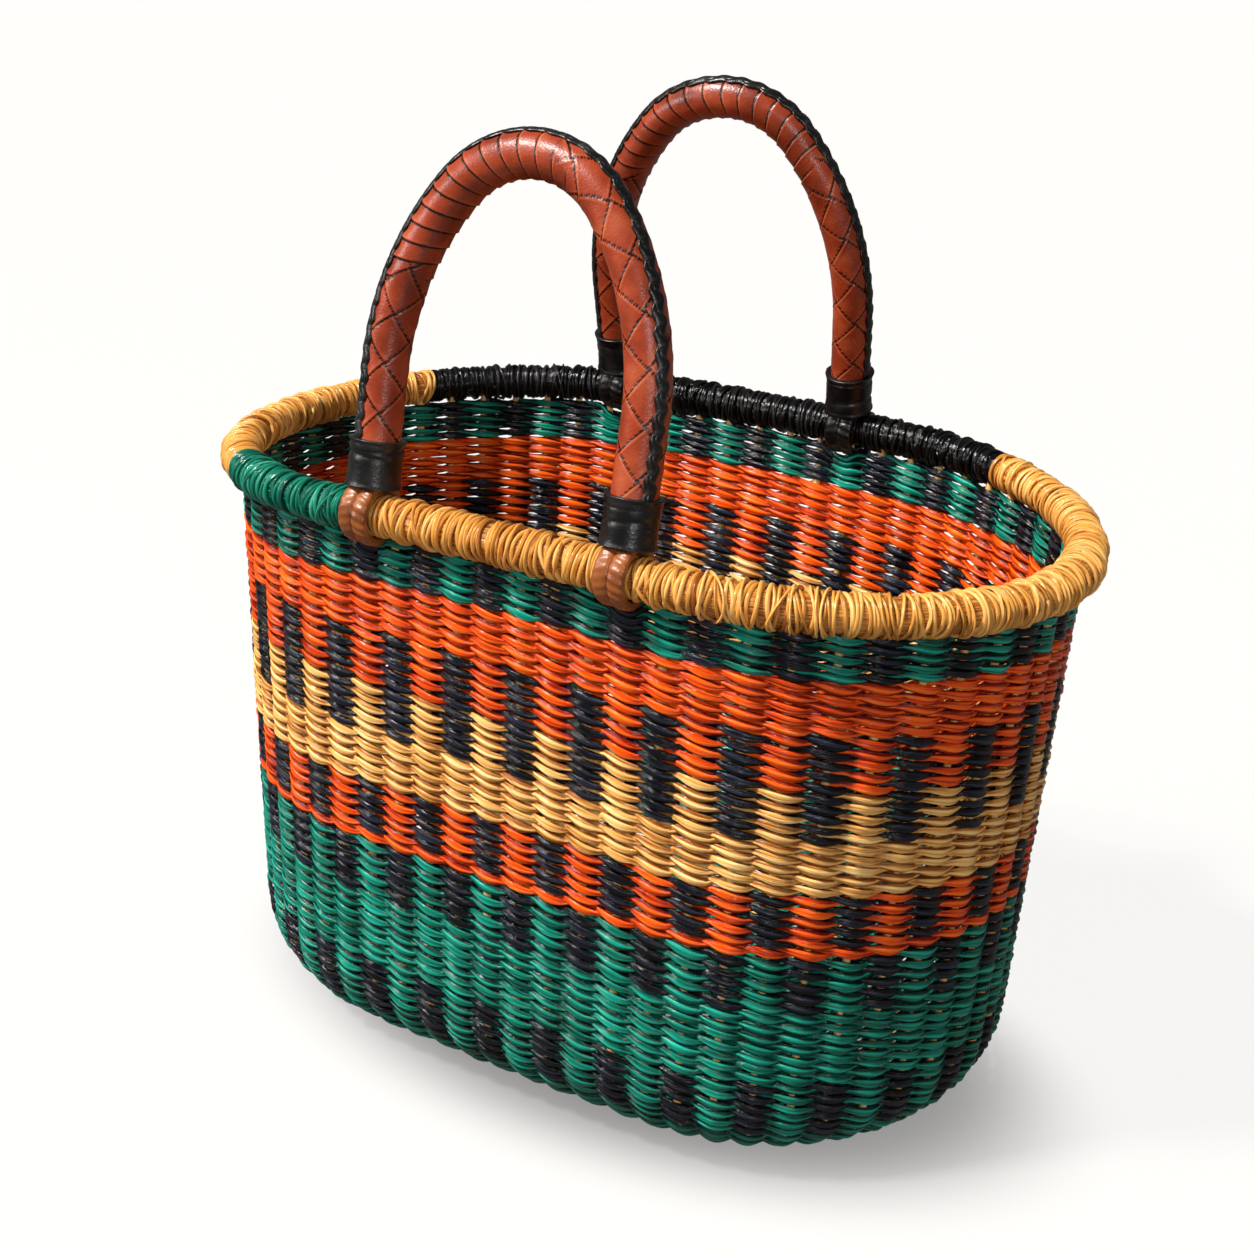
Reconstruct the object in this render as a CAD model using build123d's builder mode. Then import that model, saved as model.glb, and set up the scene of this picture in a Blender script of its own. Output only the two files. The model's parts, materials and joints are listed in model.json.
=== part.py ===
"""An oval market basket of twined straw with two folding leather handles.

The basket stands on the XY plane with its long axis along X and its front towards -Y.
Its wall is a run of coloured weave bands round upright stakes. A wrapped rim closes the
top, and each handle hangs on the rim by two leather loops.
"""

import os
from math import asin, atan2, cos, degrees, radians, sin, tan

from build123d import *

os.makedirs("parts", exist_ok=True)

# Plan of the basket: an oval of four tangent arcs through the middle of the rim
HALF_LENGTH = 220.0
HALF_WIDTH = 141.5
SIDE_RADIUS = 2800.0

# Rim
RIM_HEIGHT = 305.0  # floor to the middle of the rim
RIM_RADIUS = 10.0  # outside of the wrapping
WRAP_THICKNESS = 1.9
RIM_FIT = 0.1  # between the core and its wrapping
WRAP_GAP = 0.3  # between two wrappings along the rim
SHORTEST_ARC = 0.001  # a shorter run of the plan is left out
# Where each wrapping starts, in stakes from the middle of the front, anticlockwise from
# above. A wrapping runs to the start of the next one.
WRAP_START_STAKES = {
    "rim_wrap_black": 24.3,
    "rim_wrap_left_end": 43.3,
    "rim_wrap_green": 54.75,
    "rim_wrap_straw": 60.33,
}

# Wall
WALL = 6.0
WALL_LEAN = 2.0  # degrees, narrower towards the floor
CORNER_RADIUS = 52.0  # outside of the turn between wall and base
WALL_TOP_GAP = 0.2  # between the wall and the rim
# Foot of each band of the weave, measured down from the middle of the rim
BAND_FEET = {
    "band_green_black_top": 33.0,
    "band_orange_upper": 59.5,
    "band_orange_black_upper": 87.5,
    "band_straw_black": 113.5,
    "band_straw": 141.0,
    "band_orange_black_lower": 174.5,
    "band_green_black_middle": 205.0,
    "band_green": 245.0,
    "band_green_black_foot": 277.5,
}

# Stakes
STAKE_COUNT = 64
STAKE_RADIUS = 1.5
STAKE_FIT = 0.3  # round a stake, in the weave
STAKE_SHIFT = 1.2  # the front stakes stand this far off symmetry, towards +X
STAKE_IN_RIM = 1.8  # how far a stake reaches into the wrapping, short of the rim's core
STAKE_END_TURN = 62.0  # degrees of the corner that a stake follows
BORE_IN_RIM = 5.0  # how far a stake's bore reaches into the rim
CROWD_STAKES = 3.0  # stakes on each side of a loop that stand aside for it

# Handles: X of the left and the right foot, degrees that the handle leans inwards at rest,
# and height of the middle of the grip above the hinge axis
HANDLES = {
    "front": (-67.7, 66.4, 10.0, 167.0),
    "rear": (-96.5, 46.2, 15.0, 179.0),
}
ARCH_LEG = 65.0  # straight part of each leg
ARCH_TOP_RADIUS = 48.0
CORE_RADIUS = 7.3
COVER_THICKNESS = 3.0
HANDLE_FIT = 0.1  # between the core and its cover
LACE_WIDTH = 7.0
LACE_THICKNESS = 2.2

# Loops and collars
LOOP_CLEARANCE = 1.5  # round the rim, so that a loop turns
LOOP_THICKNESS = 4.0
LOOP_WIDTH = 13.0
LOOP_GROOVE = 1.2
SLOT_CLEARANCE = 0.7  # round a loop, in the top of the wall
COLLAR_ABOVE_RIM = 3.2  # from the rim to the lower edge of the collar
COLLAR_LENGTH = 22.0
COLLAR_THICKNESS = 2.3
COLLAR_FLARE = 0.5
COLLAR_FIT = 0.25
COLLAR_EDGE = 0.7
COVER_IN_COLLAR = 5.5  # how far the cover reaches down into the collar
CORE_GAP = 1.5  # between a loop and the end of the core
TAIL_GAP = 0.5  # between a loop's tails and the end of the cover

# Arcs of the plan: centre, radius, start angle and turn, anticlockwise from the right
# end of the rear side
end_radius = (2 * SIDE_RADIUS * HALF_WIDTH - HALF_WIDTH**2 - HALF_LENGTH**2) / (
    2 * (SIDE_RADIUS - HALF_LENGTH)
)
end_centre = HALF_LENGTH - end_radius
side_centre = SIDE_RADIUS - HALF_WIDTH
end_turn = degrees(atan2(side_centre, end_centre))
side_turn = 180.0 - 2 * end_turn
PLAN_ARCS = [
    ((0.0, -side_centre), SIDE_RADIUS, end_turn, side_turn),
    ((-end_centre, 0.0), end_radius, 180.0 - end_turn, 2 * end_turn),
    ((0.0, side_centre), SIDE_RADIUS, 180.0 + end_turn, side_turn),
    ((end_centre, 0.0), end_radius, 360.0 - end_turn, 2 * end_turn),
]
PERIMETER = sum(radius * radians(turn) for _, radius, _, turn in PLAN_ARCS)
STAKE_PITCH = PERIMETER / STAKE_COUNT
# The gap between two stakes at the middle of the front, as a distance round the plan
FRONT_MIDDLE = PERIMETER / 2 + SIDE_RADIUS * radians(side_turn) / 2 + STAKE_SHIFT

# Wall profile, as distance out from the middle of the rim and height
wall_lean = radians(WALL_LEAN)
wall_top = RIM_HEIGHT - RIM_RADIUS - WALL_TOP_GAP
corner_out = (
    -(wall_top - CORNER_RADIUS + CORNER_RADIUS * sin(wall_lean)) * tan(wall_lean)
    - CORNER_RADIUS * cos(wall_lean)
)
base_height = RIM_HEIGHT - list(BAND_FEET.values())[-1]

# Handle pieces
cover_radius = CORE_RADIUS + COVER_THICKNESS
loop_inner = RIM_RADIUS + LOOP_CLEARANCE
loop_outer = loop_inner + LOOP_THICKNESS
collar_start = RIM_RADIUS + COLLAR_ABOVE_RIM
collar_end = collar_start + COLLAR_LENGTH
cover_start = collar_end - COVER_IN_COLLAR
tail_end = cover_start - TAIL_GAP
tail_start = loop_inner / 2
core_start = loop_outer + CORE_GAP


def plan_point(distance):
    """The point and the outward angle at a distance round the plan."""
    distance = distance % PERIMETER
    for centre, radius, start, turn in PLAN_ARCS:
        length = radius * radians(turn)
        if distance <= length:
            angle = radians(start) + distance / radius
            return centre[0] + radius * cos(angle), centre[1] + radius * sin(angle), degrees(angle)
        distance -= length
    raise ValueError("the distance is not on the plan")


def plan_pieces(first, last):
    """The arcs of the plan between two distances round it."""
    pieces = []
    for lap in (0.0, PERIMETER):
        begin = lap
        for centre, radius, start, turn in PLAN_ARCS:
            end = begin + radius * radians(turn)
            low, high = max(first, begin), min(last, end)
            if high - low > SHORTEST_ARC:
                turned = degrees((low - begin) / radius)
                pieces.append((centre, radius, start + turned, degrees((high - low) / radius)))
            begin = end
    return pieces


def radial_plane(centre, angle):
    """A vertical plane through an arc's centre: its x points outwards and its y upwards."""
    outward = (cos(radians(angle)), sin(radians(angle)), 0)
    across = (sin(radians(angle)), -cos(radians(angle)), 0)
    return Plane(origin=(centre[0], centre[1], 0), x_dir=outward, z_dir=across)


def turn_round_plan(pieces, draw_section):
    """Turns a section round arcs of the plan; draw_section is given the arc's radius."""
    for centre, radius, start, turn in pieces:
        with BuildSketch(radial_plane(centre, start)) as section:
            draw_section(radius)
        revolve(section.sketch, axis=Axis((centre[0], centre[1], 0), (0, 0, 1)), revolution_arc=turn)


def wall_outline(out, thickness):
    """The wall's profile above the base's inner edge, with the rim's middle at out."""
    inner = CORNER_RADIUS - thickness
    centre = (out + corner_out, CORNER_RADIUS)
    foot = out + corner_out
    slant = (cos(wall_lean), -sin(wall_lean))
    outer_turn = (centre[0] + CORNER_RADIUS * slant[0], centre[1] + CORNER_RADIUS * slant[1])
    inner_turn = (centre[0] + inner * slant[0], centre[1] + inner * slant[1])
    outer_top = (outer_turn[0] + (wall_top - outer_turn[1]) * tan(wall_lean), wall_top)
    inner_top = (inner_turn[0] + (wall_top - inner_turn[1]) * tan(wall_lean), wall_top)
    with BuildLine() as outline:
        CenterArc(centre, CORNER_RADIUS, -90, 90 - WALL_LEAN)
        Line(outer_turn, outer_top)
        Line(outer_top, inner_top)
        Line(inner_top, inner_turn)
        CenterArc(centre, inner, -90, 90 - WALL_LEAN)
        Line((foot, 0), (foot, thickness))
    make_face(outline.edges())


def wall_ring(low, high):
    """Adds the wall between two heights."""

    def section(radius):
        wall_outline(radius, WALL)
        with Locations((radius + corner_out, low)):
            Rectangle(
                2 * CORNER_RADIUS,
                high - low,
                align=(Align.MIN, Align.MIN),
                mode=Mode.INTERSECT,
            )

    turn_round_plan(PLAN_ARCS, section)


def loop_distance(x, side_name):
    """The distance round the plan of a foot at x, on the front or the rear side."""
    if side_name == "front":
        return PERIMETER / 2 + SIDE_RADIUS * (radians(side_turn) / 2 + asin(x / SIDE_RADIUS))
    return SIDE_RADIUS * (radians(side_turn) / 2 - asin(x / SIDE_RADIUS))


def stand_aside(distance):
    """A stake's distance round the plan once it has made room for the loops near it."""
    moved = distance
    for side_name, (left, right, _, _) in HANDLES.items():
        for x in (left, right):
            loop = loop_distance(x, side_name)
            gap = FRONT_MIDDLE + round((loop - FRONT_MIDDLE) / STAKE_PITCH) * STAKE_PITCH
            apart = abs((distance - gap + PERIMETER / 2) % PERIMETER - PERIMETER / 2) / STAKE_PITCH
            share = min(1.0, max(0.0, (CROWD_STAKES + 0.5 - apart) / CROWD_STAKES))
            moved += share * (loop - gap)
    return moved


def stake_places():
    """Where each stake stands: a point of the plan, turned to face outwards."""
    places = []
    for index in range(STAKE_COUNT):
        x, y, angle = plan_point(stand_aside(FRONT_MIDDLE + (index + 0.5) * STAKE_PITCH))
        places.append(Location((x, y, 0), (0, 0, angle)))
    return places


def stake_shape(radius, reach):
    """One stake in its own plane, with the rim's middle at x = 0, reaching into the rim."""
    middle = CORNER_RADIUS - WALL / 2
    centre = (corner_out, CORNER_RADIUS)
    slant = (cos(wall_lean), -sin(wall_lean))
    turn_start = (centre[0] + middle * slant[0], centre[1] + middle * slant[1])
    top = RIM_HEIGHT - RIM_RADIUS + reach
    top_point = (turn_start[0] + (top - turn_start[1]) * tan(wall_lean), top)
    with BuildPart() as stake:
        with BuildLine(Plane.XZ) as path:
            Line(top_point, turn_start)
            CenterArc(centre, middle, -WALL_LEAN, -(STAKE_END_TURN - WALL_LEAN))
        with BuildSketch(Plane(origin=path.line @ 0, z_dir=path.line % 0)):
            Circle(radius)
        sweep(path=path.line)
    return stake.part


def save(node, name):
    """Labels a finished node and writes it."""
    node.label = name
    export_step(node, f"parts/{name}.step")


one_stake = stake_shape(STAKE_RADIUS, STAKE_IN_RIM)
one_stake_bore = stake_shape(STAKE_RADIUS + STAKE_FIT, BORE_IN_RIM)
all_places = stake_places()

with BuildPart() as stakes:
    with Locations(*all_places):
        add(one_stake)
save(stakes.part, "stakes")

with BuildPart() as stake_bores:
    with Locations(*all_places):
        add(one_stake_bore)


def handle_frame(feet, lean):
    """The handle's own plane: x from foot to foot, y up the handle, origin between its feet."""
    left, right = Vector(*feet[0]), Vector(*feet[1])
    across = (right - left).normalized()
    inwards = Vector(-across.Y, across.X, 0) if left.Y < 0 else Vector(across.Y, -across.X, 0)
    up = inwards * sin(radians(lean)) + Vector(0, 0, cos(radians(lean)))
    middle = (left + right) / 2
    return Plane(origin=(middle.X, middle.Y, RIM_HEIGHT), x_dir=across, z_dir=across.cross(up))


# Feet of the handles: each loop passes between two stakes
handle_feet = {
    side_name: [plan_point(loop_distance(x, side_name))[:2] for x in (left, right)]
    for side_name, (left, right, _, _) in HANDLES.items()
}

with BuildPart() as loop_slots:
    for feet in handle_feet.values():
        for x, y in feet:
            with BuildSketch(Plane(origin=(x, y, RIM_HEIGHT), x_dir=(0, 1, 0), z_dir=(1, 0, 0))):
                Circle(loop_outer + SLOT_CLEARANCE)
            extrude(amount=LOOP_WIDTH / 2 + SLOT_CLEARANCE, both=True)

# Weave bands, from the rim down
band_top = wall_top
for band_name, band_drop in BAND_FEET.items():
    band_foot = RIM_HEIGHT - band_drop
    with BuildPart() as band:
        wall_ring(band_foot, band_top)
        add(stake_bores.part, mode=Mode.SUBTRACT)
        if band_top == wall_top:
            add(loop_slots.part, mode=Mode.SUBTRACT)
    save(band.part, band_name)
    band_top = band_foot

with BuildPart() as base_weave:
    wall_ring(0, base_height)
    with BuildSketch():
        with BuildLine():
            for centre, radius, start, turn in PLAN_ARCS:
                CenterArc(centre, radius + corner_out, start, turn)
        make_face()
    extrude(amount=WALL)
    add(stake_bores.part, mode=Mode.SUBTRACT)
save(base_weave.part, "base_weave")

# Rim: a core all the way round and four wrappings on it
wrap_inner = RIM_RADIUS - WRAP_THICKNESS


def core_section(radius):
    """The core of the rim."""
    with Locations((radius, RIM_HEIGHT)):
        Circle(wrap_inner - RIM_FIT)


def wrap_section(radius):
    """The wrapping of the rim."""
    with Locations((radius, RIM_HEIGHT)):
        Circle(RIM_RADIUS)
        Circle(wrap_inner, mode=Mode.SUBTRACT)


with BuildPart() as rim_core:
    turn_round_plan(PLAN_ARCS, core_section)
save(rim_core.part, "rim_core")

wrap_names = list(WRAP_START_STAKES)
for index, wrap_name in enumerate(wrap_names):
    first_stake = WRAP_START_STAKES[wrap_name]
    last_stake = WRAP_START_STAKES[wrap_names[(index + 1) % len(wrap_names)]]
    length = (last_stake - first_stake) % STAKE_COUNT * STAKE_PITCH
    wrap_start = (FRONT_MIDDLE + first_stake * STAKE_PITCH) % PERIMETER
    with BuildPart() as wrap:
        pieces = plan_pieces(wrap_start + WRAP_GAP / 2, wrap_start + length - WRAP_GAP / 2)
        turn_round_plan(pieces, wrap_section)
        add(stake_bores.part, mode=Mode.SUBTRACT)
    save(wrap.part, wrap_name)


def arch_segments(half_span, height, start):
    """The line of a handle in its own plane, from the left foot over to the right one.

    Each segment is its start point, its direction in degrees and either the length of a
    straight run or the centre and the clockwise turn of an arc.
    """
    top = height - ARCH_TOP_RADIUS - ARCH_LEG
    side_radius = (half_span**2 + top**2 - ARCH_TOP_RADIUS**2) / (2 * (half_span - ARCH_TOP_RADIUS))
    side_turn_angle = degrees(atan2(top, side_radius - half_span))
    top_turn = 180.0 - 2 * side_turn_angle
    top_centre = (0.0, height - ARCH_TOP_RADIUS)
    left_centre = (side_radius - half_span, ARCH_LEG)
    right_centre = (half_span - side_radius, ARCH_LEG)

    def on_top(angle):
        x = ARCH_TOP_RADIUS * cos(radians(angle))
        return x, top_centre[1] + ARCH_TOP_RADIUS * sin(radians(angle))

    return [
        ("line", (-half_span, start), 90.0, ARCH_LEG - start),
        ("arc", (-half_span, ARCH_LEG), 90.0, (left_centre, side_turn_angle)),
        ("arc", on_top(180.0 - side_turn_angle), 90.0 - side_turn_angle, (top_centre, top_turn)),
        ("arc", on_top(side_turn_angle), side_turn_angle - 90.0, (right_centre, side_turn_angle)),
        ("line", (half_span, ARCH_LEG), -90.0, ARCH_LEG - start),
    ]


def carry_over_arch(frame, segments, draw_section):
    """Carries a section over a handle; its x points away from the inside of the arch."""
    for kind, point, heading, extent in segments:
        ahead = frame.x_dir * cos(radians(heading)) + frame.y_dir * sin(radians(heading))
        outward = frame.y_dir * cos(radians(heading)) - frame.x_dir * sin(radians(heading))
        start_plane = Plane(origin=frame.from_local_coords(point), x_dir=outward, z_dir=ahead)
        with BuildSketch(start_plane) as section:
            draw_section()
        if kind == "line":
            extrude(section.sketch, amount=extent)
        else:
            centre, turn = extent
            revolve(
                section.sketch,
                axis=Axis(frame.from_local_coords(centre), -frame.z_dir),
                revolution_arc=turn,
            )


def handle_core_section():
    """The round core of a handle."""
    Circle(CORE_RADIUS)


def cover_section():
    """The leather cover round the core."""
    Circle(cover_radius)
    Circle(CORE_RADIUS + HANDLE_FIT, mode=Mode.SUBTRACT)


def lace_section():
    """The lace along the outside of the arch."""
    Circle(cover_radius + LACE_THICKNESS)
    Circle(cover_radius, mode=Mode.SUBTRACT)
    with Locations((cover_radius, 0)):
        Rectangle(cover_radius, LACE_WIDTH, mode=Mode.INTERSECT)


def make_loop(frame, foot):
    """A leather loop round the rim, with the two tails that a collar binds to the leg."""
    across = Plane(origin=frame.from_local_coords((foot, 0)), x_dir=frame.y_dir, z_dir=frame.x_dir)
    upright = Plane(origin=frame.from_local_coords((foot, 0)), x_dir=frame.x_dir, z_dir=frame.y_dir)
    with BuildPart() as loop:
        with BuildSketch(upright.offset(tail_start)):
            Circle(cover_radius)
            Circle(CORE_RADIUS + HANDLE_FIT, mode=Mode.SUBTRACT)
            Rectangle(LOOP_WIDTH, 2 * cover_radius, mode=Mode.INTERSECT)
        extrude(amount=tail_end - tail_start)
        with BuildSketch(across):
            Circle(loop_outer)
        extrude(amount=LOOP_WIDTH / 2, both=True)
        with BuildSketch(across):
            Circle(loop_inner)
        extrude(amount=LOOP_WIDTH, both=True, mode=Mode.SUBTRACT)
        with BuildSketch(across):
            Circle(loop_outer)
            Circle(loop_outer - LOOP_GROOVE, mode=Mode.SUBTRACT)
        extrude(amount=LOOP_GROOVE / 2, both=True, mode=Mode.SUBTRACT)
    return loop.part


def make_collar(frame, foot):
    """A leather collar that binds the cover and the loop's tails to a leg."""
    inner = cover_radius + COLLAR_FIT
    outer = inner + COLLAR_THICKNESS
    middle = collar_start + COLLAR_LENGTH / 2
    side = Plane(origin=frame.from_local_coords((foot, 0)), x_dir=frame.x_dir, z_dir=frame.z_dir)
    with BuildPart() as collar:
        with BuildSketch(side):
            with BuildLine():
                Line((inner, collar_start), (outer + COLLAR_FLARE, collar_start))
                Line((outer + COLLAR_FLARE, collar_start), (outer, middle))
                Line((outer, middle), (outer + COLLAR_FLARE / 2, collar_end))
                Line((outer + COLLAR_FLARE / 2, collar_end), (inner, collar_end))
                Line((inner, collar_end), (inner, collar_start))
            make_face()
        revolve(axis=Axis(side.origin, frame.y_dir))
        fillet(collar.edges().filter_by(GeomType.CIRCLE).group_by(SortBy.RADIUS)[-1], COLLAR_EDGE)
    return collar.part


for side_name, (_, _, lean, height) in HANDLES.items():
    feet = handle_feet[side_name]
    frame = handle_frame(feet, lean)
    half_span = (Vector(*feet[1]) - Vector(*feet[0])).length / 2
    with BuildPart() as handle_core:
        carry_over_arch(frame, arch_segments(half_span, height, core_start), handle_core_section)
    save(handle_core.part, f"{side_name}_handle_core")
    with BuildPart() as handle_cover:
        carry_over_arch(frame, arch_segments(half_span, height, cover_start), cover_section)
    save(handle_cover.part, f"{side_name}_handle_cover")
    with BuildPart() as handle_lace:
        carry_over_arch(frame, arch_segments(half_span, height, collar_end), lace_section)
    save(handle_lace.part, f"{side_name}_handle_lace")
    for foot_name, foot in (("left", -half_span), ("right", half_span)):
        save(make_loop(frame, foot), f"{side_name}_loop_{foot_name}")
        save(make_collar(frame, foot), f"{side_name}_collar_{foot_name}")
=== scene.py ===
"""Looks of the woven market basket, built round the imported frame."""

import json
from math import atan2, cos, pi, radians, sin, tan

import bpy
import numpy as np
from mathutils import Matrix, Vector


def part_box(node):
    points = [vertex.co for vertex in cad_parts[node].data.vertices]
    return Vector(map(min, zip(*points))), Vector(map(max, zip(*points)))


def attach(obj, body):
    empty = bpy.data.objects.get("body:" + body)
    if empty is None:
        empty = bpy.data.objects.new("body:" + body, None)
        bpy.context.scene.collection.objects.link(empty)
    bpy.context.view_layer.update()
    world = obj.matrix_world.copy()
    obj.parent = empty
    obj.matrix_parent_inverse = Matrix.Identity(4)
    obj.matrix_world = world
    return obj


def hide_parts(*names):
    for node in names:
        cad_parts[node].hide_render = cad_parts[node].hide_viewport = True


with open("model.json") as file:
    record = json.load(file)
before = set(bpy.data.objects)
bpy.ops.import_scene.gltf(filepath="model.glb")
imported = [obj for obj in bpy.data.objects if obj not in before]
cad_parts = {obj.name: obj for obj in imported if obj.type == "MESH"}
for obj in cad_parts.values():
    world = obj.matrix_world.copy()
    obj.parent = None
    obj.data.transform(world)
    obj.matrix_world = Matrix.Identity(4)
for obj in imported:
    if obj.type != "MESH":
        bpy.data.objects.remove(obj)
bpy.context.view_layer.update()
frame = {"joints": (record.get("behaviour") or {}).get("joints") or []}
rng = np.random.default_rng(7)

MM = 0.001
UP = np.array([0.0, 0.0, 1.0])

# Plan and rim, measured on the frame
core_low, core_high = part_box("rim_core")
RIM_CORE_RADIUS = (core_high.z - core_low.z) / 2
HALF_LENGTH = (core_high.x - core_low.x) / 2 - RIM_CORE_RADIUS
HALF_WIDTH = (core_high.y - core_low.y) / 2 - RIM_CORE_RADIUS
RIM_HEIGHT = (core_high.z + core_low.z) / 2
wrap_low, wrap_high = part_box("rim_wrap_straw")
RIM_RADIUS = (wrap_high.z - wrap_low.z) / 2

# Plan, wall and stakes, as the part has them, but with thicker stakes
SIDE_RADIUS = 2.8
WALL = 6 * MM
WALL_LEAN = radians(2.0)
CORNER_RADIUS = 52 * MM
STAKE_COUNT = 64
STAKE_SHIFT = 1.2 * MM
STAKE_RADIUS = 1.9 * MM

# What the part leaves straight
RIM_SAG = 9 * MM  # how far the two ends of the rim hang below the middle of its sides
BASE_LIFT = 3 * MM  # how far the two ends of the base curl up from the floor

# Bands of the weave: CAD node, rows, the two strands' colours, which stakes the second
# strand shows over (0 or 1) and how many rows at the foot have both strands of one colour
BANDS = [
    ("band_green_black_top", 5, "green", "black", 0, 0),
    ("band_orange_upper", 5, "orange", "orange", 0, 0),
    ("band_orange_black_upper", 5, "orange", "black", 1, 0),
    ("band_straw_black", 5, "natural", "black", 1, 0),
    ("band_straw", 5, "natural", "natural", 0, 0),
    ("band_orange_black_lower", 6, "orange", "black", 0, 1),
    ("band_green_black_middle", 5, "green", "black", 1, 0),
    ("band_green", 7, "green", "green", 0, 0),
    ("band_green_black_foot", 6, "green", "black", 0, 0),
    ("base_weave", 15, "green", "green", 0, 0),
]

# Strands of the weave
STITCH_STEPS = 7  # mesh rings per stake
STRAND_SIDES = 14
BASE_STRAND_SIDES = 7
STRAND_PITCH = 5.5 * MM  # of the rows that the sizes below are for
STRAND_OUT = 2.3 * MM  # swing of a strand in and out round the stakes
STRAND_SLANT = 1.50 * MM  # rise and fall of a strand where two strands cross
STITCH_SLANT = 0.18 * MM  # more slant on the outside than on the inside
STRAND_HALF_HEIGHT = 2.45 * MM
STRAND_TIP = 1.38 * MM
STRAND_HALF_DEPTH = 1.25 * MM
STRAND_LOBES = 4  # ridges round a strand, of the straws that it is twisted from
SLIM_MOST = 1.3  # how much a strand grows at most to fill a wide row
LOOP_ROOM = 6.5 * MM  # push of the top row under a loop
LOOP_ROOM_HALF_WIDTH = 8 * MM
LOOP_ROOM_FADE = 9 * MM
STAKE_RINGS = 46

# Handles, by side where they differ
ARCH_HEIGHTS = {"front": 167 * MM, "rear": 179 * MM}
ARCH_LEG = 65 * MM
ARCH_TOP_RADIUS = 48 * MM
CORE_RADIUS = 7.3 * MM
COVER_RADIUS = 10.3 * MM
COVER_IN_COLLAR = 5.5 * MM
COLLAR_RADIUS = 12.8 * MM
COLLAR_START = 12.1 * MM
COLLAR_END = 33.6 * MM
LOOP_RADIUS = 13.0 * MM
LEANS = {"front": radians(10.0), "rear": radians(15.0)}
SKEWS = {"front": 0.0, "rear": 10 * MM}  # how far the top stands aside of the feet
COVER_STEP = 0.65 * MM
COVER_SIDES = 72
COVER_RELIEF = 1.3 * MM
STRIP_CELL = 11.5 * MM  # of the crossed strips, along the handle
LAP_PITCH = 8.6 * MM  # of the lapped spiral
LAPPED_SHARES = {"front": (0.27, 0.55), "rear": (0.30, 0.66)}  # of the handle's length
LACE_STEP = 0.6 * MM
LACE_LEAF = 8.4 * MM
LACE_SIDES = 14
COLLAR_RINGS = 60
COLLAR_SIDES = 96
LOOP_RINGS = 120
LOOP_SIDES = 28
CORD_HALF_WIDTH = 4.0 * MM  # of each of a loop's two cords
CORD_HALF_DEPTH = 2.15 * MM
CORD_ASIDE = 3.8 * MM  # from the middle of the loop

# Ground plan: centre, radius, start angle and turn of each arc
end_radius = (2 * SIDE_RADIUS * HALF_WIDTH - HALF_WIDTH**2 - HALF_LENGTH**2) / (
    2 * (SIDE_RADIUS - HALF_LENGTH)
)
end_centre = HALF_LENGTH - end_radius
side_centre = SIDE_RADIUS - HALF_WIDTH
end_turn = atan2(side_centre, end_centre)
side_turn = pi - 2 * end_turn
PLAN_ARCS = [
    (0.0, -side_centre, SIDE_RADIUS, end_turn, side_turn),
    (-end_centre, 0.0, end_radius, pi - end_turn, 2 * end_turn),
    (0.0, side_centre, SIDE_RADIUS, pi + end_turn, side_turn),
    (end_centre, 0.0, end_radius, 2 * pi - end_turn, 2 * end_turn),
]
PERIMETER = sum(arc[2] * arc[4] for arc in PLAN_ARCS)
STAKE_PITCH = PERIMETER / STAKE_COUNT
FRONT_MIDDLE = PERIMETER / 2 + SIDE_RADIUS * side_turn / 2 + STAKE_SHIFT


def stake_place(stake):
    """Distances round the plan of stakes, which stand wider apart in some places."""
    turn = 2 * pi * (stake + 0.5) / STAKE_COUNT
    drift = 3.7 + 4.4 * np.cos(turn) - 4.6 * np.cos(2 * turn)
    drift = drift - 2.8 * np.sin(2 * turn) - 2.8 * np.sin(3 * turn)
    return FRONT_MIDDLE + (stake + 0.5) * STAKE_PITCH + drift * MM


def plan(distance, inset):
    """Points, outward normals and tangents of the plan, at distances round the rim."""
    distance = np.mod(distance, PERIMETER)
    inset = np.broadcast_to(inset, distance.shape)
    x = np.zeros_like(distance)
    y = np.zeros_like(distance)
    angle = np.zeros_like(distance)
    begin = 0.0
    for cx, cy, radius, start, turn in PLAN_ARCS:
        end = begin + radius * turn
        here = (distance >= begin) & (distance <= end)
        a = start + (distance - begin) / radius
        x = np.where(here, cx + (radius - inset) * np.cos(a), x)
        y = np.where(here, cy + (radius - inset) * np.sin(a), y)
        angle = np.where(here, a, angle)
        begin = end
    outward = np.stack([np.cos(angle), np.sin(angle), np.zeros_like(angle)], -1)
    along = np.stack([-np.sin(angle), np.cos(angle), np.zeros_like(angle)], -1)
    return np.stack([x, y, np.zeros_like(x)], -1), outward, along


# Middle of the wall as a profile: inset from the rim's middle and height, by distance down
WALL_TOP = RIM_HEIGHT - RIM_RADIUS
corner_in = (
    (WALL_TOP - CORNER_RADIUS + CORNER_RADIUS * sin(WALL_LEAN)) * tan(WALL_LEAN)
    + CORNER_RADIUS * cos(WALL_LEAN)
)
middle_radius = CORNER_RADIUS - WALL / 2
straight_foot = CORNER_RADIUS - middle_radius * sin(WALL_LEAN)
straight = (WALL_TOP - straight_foot) / cos(WALL_LEAN)
corner = middle_radius * (pi / 2 - WALL_LEAN)


def profile(down):
    """Inset, height and outward tilt of the wall's middle at distances down the wall."""
    top_inset = corner_in - middle_radius * cos(WALL_LEAN) - straight * sin(WALL_LEAN)
    turn = np.clip((down - straight) / middle_radius, 0, pi / 2 - WALL_LEAN) + WALL_LEAN
    flat = np.maximum(down - straight - corner, 0)
    on_wall = down < straight
    inset = np.where(
        on_wall, top_inset + down * sin(WALL_LEAN), corner_in - middle_radius * np.cos(turn) + flat
    )
    height = np.where(
        on_wall, WALL_TOP - down * cos(WALL_LEAN), CORNER_RADIUS - middle_radius * np.sin(turn)
    )
    return inset, height, turn


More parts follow.
